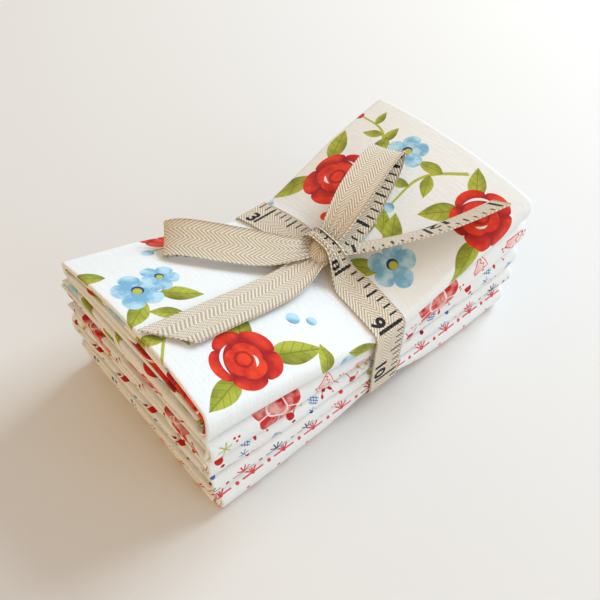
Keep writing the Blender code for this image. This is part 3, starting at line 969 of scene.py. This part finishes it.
def blue_flower(art, x, y, wash, sharp):
    """Five broad petals in a thin wash, a dark eye and a yellow-green centre."""
    reach, angle = polar(x, y)
    petal = abs((angle * 2.5).cos())
    rim = petal.do("POWER", 0.4).times_add(0.42, 0.56) + (angle * 3.0).sin() * 0.05
    shape = (rim - reach).cut(sharp)
    depth = (wash * 3.2 - reach * 0.5 - petal * 0.3 - 1.0).inked(0.8)
    art.paint(shape, art.mixed(depth, PALE_SKY, SKY))
    art.paint((0.22 - petal).inked(0.25) * shape * 0.4, SKY)
    eye, around = polar(x - 0.05, y + 0.04)
    art.paint((0.23 - eye).cut(sharp), NAVY)
    art.paint((0.17 - reach).cut(sharp), YOLK)


def stem(art, x, y, wash, sharp):
    """A curved stalk that thins towards one end."""
    curve = abs(y - (x * 2.2).cos() * 0.22 + 0.05)
    art.paint((x.times_add(-0.012, 0.042) - curve).least(1.0 - abs(x)).cut(sharp), LIME)


def bud(art, x, y, wash, sharp, light, dark, calyx):
    """A round bud, darker towards its stalk."""
    reach, angle = polar(x, y)
    shape = (x.times_add(0.16, 0.86) - reach).cut(sharp)
    art.paint(shape, art.mixed((x * -1.1 + wash * 0.8 - 0.4).inked(0.7), light, dark))
    crescent, angle = polar(x - 0.32, y - 0.1)
    art.paint((crescent - 1.0).cut(sharp) * shape, calyx)


# The floral print of the top piece, charted in mm from the middle of the top face: x runs
# along the piece and y to the back, turn is in degrees
FLORAL_TILE = (118 * MM, 166 * MM)
Spot = namedtuple("Spot", "kind x y turn size")
FLORAL_KINDS = {
    "stem": (stem,),
    "leaf": (leaf, LIME, OLIVE),
    "dark leaf": (leaf, OLIVE, LIME),
    "rose": (rose, SCARLET, RED, DEEP_RED),
    "flower": (blue_flower,),
    "blue bud": (bud, PALE_SKY, SKY, NAVY),
    "red bud": (bud, SCARLET, RED, DEEP_RED),
}


def spray(tip, x, y, turn, size):
    """A stalk with three leaves and a bud at its tip."""
    ahead, aside = math.cos(math.radians(turn)), math.sin(math.radians(turn))

    def at(kind, a, b, angle, share):
        """A part that grows from a, b along the stalk, at an angle to it."""
        if kind != "stem":
            a += share * math.cos(math.radians(angle))
            b += share * math.sin(math.radians(angle))
        return Spot(kind, x + (a * ahead + b * aside) * size, y + (a * aside - b * ahead) * size,
                    turn - angle, share * size)

    return (at("stem", 0.0, 0.0, 0, 1.0), at("leaf", -0.45, 0.07, 58, 0.36),
            at("leaf", -0.15, 0.15, -52, 0.34), at("leaf", 0.42, 0.08, 48, 0.30),
            at(tip, 0.97, -0.17, -30, 0.16))


def spots(kind, *places):
    """Motifs of one kind, each place with its x, y, turn and size."""
    return [Spot(kind, *place) for place in places]


FLORAL = (
    *spray("blue bud", 56, -7, 158, 15),
    *spray("red bud", 62, 24, 60, 12),
    *spray("red bud", 28, -4, 100, 14),
    *spray("blue bud", -55, -9, 206, 15),
    *spray("blue bud", -24, 25, 158, 15),
    *spots("leaf", (25, 34, 150, 9.5), (50, 33, 24, 8), (-38, -16, 60, 8), (-28, -31, -12, 9.5),
           (-57, -34, 200, 8), (15, -13, 128, 7.5), (33, -12, 35, 7.5), (-4, -40, 160, 7.5),
           (-20, -37, 75, 6), (50, -19, 140, 8), (68, -20, 40, 7), (56, 17, 200, 7),
           (-66, 24, 150, 6.5), (-45, 3, -30, 7), (-62, 1, 215, 6.5), (44, -38, 200, 9)),
    *spots("rose", (37, 21, 15, 13), (-44, -27, 200, 11.5), (59, -31, 100, 12), (-30, 37, 40, 9)),
    *spots("flower", (-56, 10, 10, 8.5), (-46, 13, 40, 6.5), (24, -21, 50, 9), (62, 8, 30, 8),
           (-11, -47, 20, 8.5), (12, 41, 75, 8)),
    *spots("blue bud", (-20, -20, 60, 2.6), (-15, -23, 20, 2.0)),
    # These sit on the folds of the left end and show on the ends of the leaves below the top face
    *spots("dark leaf", (-73, 29, 80, 7), (-72, -40, 100, 6.5)),
    *spots("flower", (-77, -8, 0, 8), (-76, 52, 20, 8)),
    *spots("rose", (-78, 12, 40, 9.5), (-78, -25, 120, 9), (47, 52, 10, 9)),
)


def floral_print(name):
    dye = Dye(name, WHITE, 5.0 * MM)
    for spot in FLORAL:
        # The top face's middle lies a quarter of the way across the sheet and three eighths along it
        x = FLAT_WIDTH / 4 + spot.y * MM
        y = FLAT_LENGTH * 3 / 8 + spot.x * MM
        draw, *colours = FLORAL_KINDS[spot.kind]
        dye.stamp(draw, FLORAL_TILE, x, y, math.radians(90 - spot.turn), spot.size * MM, *colours)
    return cotton_finish(dye)


# The small prints of the four lower pieces


def three_dots(art, x, y, wash, sharp, colour):
    reach, angle = polar(x, y)
    near = angle.fold(math.pi / 3)
    off, aside = near.cos() * reach - 1.0, near.sin() * reach
    art.paint((0.52 - (off * off + aside * aside).do("SQRT")).cut(sharp), colour)


def burst(art, x, y, wash, sharp, colour):
    """Half a star: a long base line with five rays on one side and a blot where they meet."""
    reach, angle = polar(x, y)
    base = (0.07 - abs(y)).least(1.0 - abs(x))
    ray = (angle * (5.0 / math.pi)).fold(0.5) * (math.pi / 5.0) * reach
    rays = (0.06 - ray).least(0.7 - reach).least(y)
    art.paint(base.most(rays).most(0.17 - reach).cut(sharp), colour)


def star(art, x, y, wash, sharp, colour):
    """Six strokes from one point."""
    reach, angle = polar(x, y)
    stroke = (0.10 - angle.fold(math.pi / 6) * reach).least(1.0 - reach)
    art.paint(stroke.cut(sharp), colour)


def drop(art, x, y, wash, sharp, colour):
    reach, angle = polar(x, y)
    art.paint((0.9 - reach + y * 0.25).cut(sharp), colour)


def heart_bud(art, x, y, wash, sharp, colour):
    """A split bud with a short stroke on each side."""
    reach, angle = polar(x, y)
    lobes = 0.56 - angle.cos() * 0.42 - reach
    stroke = (0.09 - abs(abs(y) - x * 0.7 - 0.55)).least(0.75 - abs(x))
    art.paint(lobes.most(stroke).cut(sharp), colour)


def sprig(art, x, y, wash, sharp, colour):
    """A forked sprig with a leaf at each tip."""
    stalk = (0.09 - abs(y - abs(x) * 0.9)).least(1.0 - abs(x))
    tip = (0.28 - abs(abs(x) - 0.9)).least(0.26 - abs(y - 0.85))
    art.paint(stalk.most(tip).cut(sharp), colour)


def lattice_patch(art, x, y, wash, sharp, colour):
    """A small patch of crossed strokes."""
    strokes = (0.09 - (x + 4.0).fold(0.25)).most(0.09 - (y + 4.0).fold(0.25))
    art.paint(strokes.least(0.95 - abs(x)).least(0.75 - abs(y)).cut(sharp), colour)


def swag(art, x, y, wash, sharp, colour):
    """A scalloped arc."""
    reach, angle = polar(x, y)
    arc = ((angle * 6.0).sin() * 0.09 + 0.12 - abs(reach - 0.85)).least(y + 0.1)
    art.paint(arc.cut(sharp), colour)


def bell(art, x, y, wash, sharp, line, soft):
    """An outlined bell flower with a toothed mouth, softly shaded inside."""
    inside = (x.times_add(0.30, 0.55) - abs(y)).least(0.85 - x).least(x + 0.95)
    shape = inside.cut(sharp)
    art.paint(shape, art.mixed((x * 0.6 + wash - 0.4).inked(1.2), soft, WHITE))
    tooth = (y * 12.0).sin() * 0.13 + 0.36
    art.paint((0.09 - inside).most(0.07 - abs(x - tooth)).cut(sharp) * shape, line)


def soft_rose(art, x, y, wash, sharp, deep, soft):
    """A bloom in a red wash that thins out in places, with paper-white lines between its petals."""
    reach, angle = polar(x, y)
    petal = abs((angle * 2.5).sin())
    shape = (petal.do("POWER", 0.5).times_add(0.22, 0.76) - reach).cut(sharp)
    art.paint(shape, art.mixed((wash * 2.6 + reach * 0.5 - 1.5).inked(0.8), soft, deep))
    lines = (0.10 - petal).least(reach - 0.34).most(0.035 - abs(reach - 0.38 - (angle * 3.0).sin() * 0.06))
    art.paint(lines.cut(sharp) * shape * 0.85, WHITE)


# The motifs of the small prints, in mm on the print's repeat. The columns are draw, x, y, turn, size
# and colours: turn is in degrees from across to along the cloth
TOILE_DOTS = (
    (three_dots, 2, 3, 17, 0.95, (DEEP_RED,)),
    (three_dots, 8.5, 8.5, 70, 0.95, (RED,)),
)
TOILE = (
    (soft_rose, 8, 12, 23, 8.5, (RED, SOFT_RED)),
    (bell, 27, 62, 110, 4.6, (SCARLET, SOFT_RED)),
    (bell, 29, 44, 70, 3.6, (SCARLET, SOFT_RED)),
    (soft_rose, 30, 24, 115, 9.5, (RED, SOFT_RED)),
    (bell, 6, 50, 200, 4.6, (SCARLET, SOFT_RED)),
    (soft_rose, 12, 68, 60, 6.5, (RED, SOFT_RED)),
    (star, 26, 3, 20, 2.6, (LIME,)),
    (star, 5, 32, 70, 2.4, (BLUE,)),
)
BUDS = (
    (heart_bud, 2.0, 5, 15, 2.3, (RED,)),
    (sprig, 2.5, 10, -80, 1.9, (LIME,)),
    (lattice_patch, 2.0, 15, -60, 1.9, (BLUE,)),
    (swag, 1.0, 21, -95, 2.9, (RED,)),
    (heart_bud, 5.6, 25.5, 100, 2.2, (RED,)),
    (heart_bud, 9.5, 19, 10, 2.3, (RED,)),
    (lattice_patch, 11.5, 26, 30, 1.9, (BLUE,)),
    (star, 8.2, 1, -60, 2.1, (LIME,)),
    (swag, 8.5, 9, -95, 2.9, (RED,)),
    (star, 13.0, 13.5, 25, 1.9, (BLUE,)),
    (drop, 6.0, 14, 0, 0.8, (DEEP_RED,)),
    (drop, 13.5, 5.5, 0, 0.8, (DEEP_RED,)),
)
BURST_COLOURS = (RED, DEEP_RED, BLUE, RED, NAVY, NAVY, SCARLET, LIME)
BURST_PITCH = 13
STARS = tuple(
    mark
    for k, colour in enumerate(BURST_COLOURS)
    for mark in (
        (burst, 3.0, (k + 0.5) * BURST_PITCH, -90, 4.2, (colour,)),
        (drop, 3.0, (k + 1.0) * BURST_PITCH, 0, 0.75, (DEEP_RED,)),
        (drop, 0.4, k * BURST_PITCH + 5.0, 0, 0.85, (RED,)),
        (drop, 8.6, k * BURST_PITCH + 9.0, 0, 0.9, (colour,)),
    )
)
PINK_STARS = (
    (burst, 2.0, 6.5, -90, 4.2, (PINK_RED,)),
    (drop, 2.0, 0.0, 0, 0.75, (PINK_RED,)),
    (drop, 7.4, 3.0, 0, 0.75, (PINK_RED,)),
)


def small_print(name, layers):
    """A print of several layers of marks, each with its own repeat in mm."""
    dye = Dye(name, WHITE, 4.0 * MM)
    for repeat, marks in layers:
        tile = (repeat[0] * MM, repeat[1] * MM)
        for draw, x, y, turn, size, colours in marks:
            dye.stamp(draw, tile, x * MM, y * MM, math.radians(turn), size * MM, *colours)
    return cotton_finish(dye)


def make_prints():
    """The five cottons, by the name of their node."""
    return {
        "fat_quarter_1": floral_print("floral_cotton"),
        "fat_quarter_2": small_print("toile_cotton", (((13, 11), TOILE_DOTS), ((46, 72), TOILE))),
        "fat_quarter_3": small_print("bud_cotton", (((15, 28), BUDS),)),
        "fat_quarter_4": small_print("star_cotton", (((11.5, BURST_PITCH * len(BURST_COLOURS)), STARS),)),
        "fat_quarter_5": small_print("pink_star_cotton", (((10.5, BURST_PITCH), PINK_STARS),)),
    }


# The tape's twill and marks

# The cream of the tape's threads, and a tan that is painted shade in the valleys between the twill's ribs
CREAM = (0.94, 0.875, 0.745)
TAN_VALLEY_SHADE = (0.38, 0.255, 0.125)
TAPE_INK = (0.012, 0.012, 0.014)
# The lines on the tape, in mm: half their width, and how far from the tape's edge they start and end;
# step is the inches from one to the next
Tick = namedtuple("Tick", "half_width step start end")
TICKS = (Tick(0.34, 1 / 8, 0.8, 3.9), Tick(0.44, 1 / 2, 0.8, 5.6), Tick(0.62, 1, 1.7, 11.2))
TWILL_COLUMNS = 4
TWILL_PITCH = 1.5 * MM
STITCH_PITCH = 0.62 * MM


def twill():
    """Herringbone twill, with painted shade in the valleys of its ribs, and eighth, half and whole inch lines
    on its printed side.
    """
    dye = Dye("herringbone_twill", TAN_VALLEY_SHADE, 0.5 * MM)
    edge, run = dye.split(dye.place)
    slope = edge.fold(TAPE_WIDTH / TWILL_COLUMNS) * 1.35
    rib = ((run + slope) * (2 * math.pi / TWILL_PITCH)).sin()
    stitch = ((run - slope * 0.8) * (2 * math.pi / STITCH_PITCH)).sin()
    # Cream on the ribs' crests over the tan ground, which is painted shade in their valleys; this also draws
    # the herringbone
    dye.paint((rib * 0.42 + stitch * 0.16 + dye.wash * 0.7 - 0.13).inked(1.0), CREAM)
    marks = run * 0.0 - 1.0
    for tick in TICKS:
        line = (tick.half_width * MM - run.fold(tick.step * INCH / 2)).least(tick.end * MM - edge)
        marks = marks.most(line.least(edge - tick.start * MM))
    worn = (dye.wash * 1.3 + 0.45).least(1.0)
    dye.paint(marks.inked(0.14 * MM) * dye.printed() * worn, TAPE_INK)
    return dye.finish(rib * 0.5 + stitch * 0.3 + dye.wash * 0.7, TWILL)


# The stage


# The camera of the photograph, worked out from the stack's corners and folds
CAMERA_PLACE = (-127.07 * MM, -134.57 * MM + STACK_Y, 241.26 * MM)
CAMERA_AZIMUTH = math.radians(42.91)
CAMERA_ELEVATION = math.radians(50.35)
CAMERA_ROLL = math.radians(2.99)
CAMERA_LENS = 47.77

FLOOR_COLOUR = (0.78, 0.78, 0.77)
FLOOR_REACH = 3.0
FLOOR_GAP = 0.1 * MM

# Daylight from the right, and a warm, dimmer room to the left
Lamp = namedtuple("Lamp", "name place size power colour")
LAMPS = (
    Lamp("window", (0.85, -0.02, 0.66), 0.6, 10.0, (0.79, 0.91, 1.0)),
    Lamp("front_fill", (0.15, -0.9, 0.4), 0.7, 2.3, (0.64, 0.83, 1.0)),
)
ROOM_WARM = (0.98, 0.60, 0.23)
ROOM_COOL = (0.42, 0.47, 0.53)
ROOM_COOL_FROM = 0.76


def make_camera():
    data = bpy.data.cameras.new("camera")
    data.sensor_width = 36.0
    data.lens = CAMERA_LENS
    camera = place_object("camera", data)
    turn = (Matrix.Rotation(-CAMERA_AZIMUTH, 4, "Z") @ Matrix.Rotation(math.pi / 2 - CAMERA_ELEVATION, 4, "X")
            @ Matrix.Rotation(CAMERA_ROLL, 4, "Z"))
    camera.matrix_world = Matrix.Translation(CAMERA_PLACE) @ turn
    bpy.context.scene.camera = camera


def make_floor():
    corners = [(x * FLOOR_REACH, y * FLOOR_REACH, 0.0) for x, y in ((-1, -1), (1, -1), (1, 1), (-1, 1))]
    paper = new_material("pale_paper", {"Base Color": FLOOR_COLOUR, "Roughness": 0.9})
    floor = place_object("floor", new_mesh("floor", corners, [(0, 1, 2, 3)], paper))
    floor.location.z = -FLOOR_GAP


def make_lights():
    """Soft square lamps that point at the stack, and the room."""
    for lamp in LAMPS:
        data = bpy.data.lights.new(lamp.name, "AREA")
        data.energy = lamp.power
        data.size = lamp.size
        data.color = lamp.colour
        light = place_object(lamp.name, data)
        light.location = lamp.place
        light.rotation_mode = "QUATERNION"
        light.rotation_quaternion = (-light.location).to_track_quat("-Z", "Y")
    world = bpy.data.worlds.new("soft_room")
    bpy.context.scene.world = world
    world.use_nodes = True
    tree = world.node_tree
    direction = add_node(tree, "TexCoord", {}).outputs["Generated"]
    across = Field(tree, add_node(tree, "SeparateXYZ", {0: direction}).outputs[0])
    ramp = add_node(tree, "ValToRGB", {0: across.times_add(0.5, 0.5)})
    warm, cool = ramp.color_ramp.elements
    warm.color = (*ROOM_WARM, 1.0)
    cool.color = (*ROOM_COOL, 1.0)
    cool.position = ROOM_COOL_FROM
    fill(tree.nodes["Background"], {"Color": ramp.outputs[0], "Strength": 1.0})
    bpy.context.scene.view_settings.view_transform = "Standard"


def main():
    make_camera()
    make_floor()
    make_lights()
    columns = along_the_piece()
    rows = along_the_fold()
    prints = make_prints()
    for quarter in QUARTERS:
        piece, below = make_quarter(quarter, columns, rows, prints[quarter.name])
    lengths = tape_lengths()
    tape = make_tape(lengths, twill())
    ink = new_material("tape_ink", {"Base Color": TAPE_INK, "Roughness": 0.85})
    numbers = make_numbers(lengths, ink)


main()
